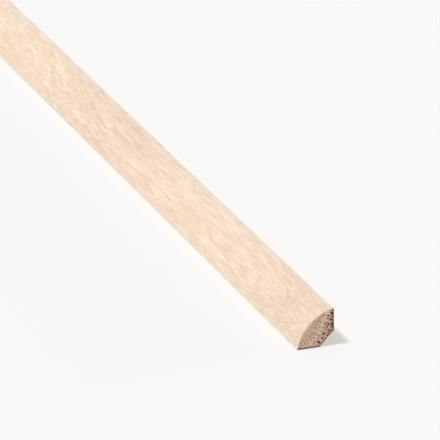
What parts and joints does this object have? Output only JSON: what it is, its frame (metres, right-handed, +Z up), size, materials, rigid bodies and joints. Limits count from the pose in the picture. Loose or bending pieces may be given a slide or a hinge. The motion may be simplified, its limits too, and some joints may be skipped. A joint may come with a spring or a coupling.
{
  "type": "quarter round moulding",
  "caption": "Straight length of oak quarter round trim with a bowed face, flat legs at right angles and a chamfered back corner, to cover the joint where a wall meets a floor.",
  "frame": {"origin": "on the floor plane at mid-length, halfway between the wall plane and the front edge", "axes": "+X along the length, +Y towards the wall, +Z up; the bowed face looks up and towards -Y"},
  "size_m": [0.9, 0.012, 0.012],
  "materials": {
    "oak": "planed and unfinished, with sawn ends"
  },
  "bodies": {
    "root": {"quarter_round_moulding": "oak"}
  },
  "joints": []
}
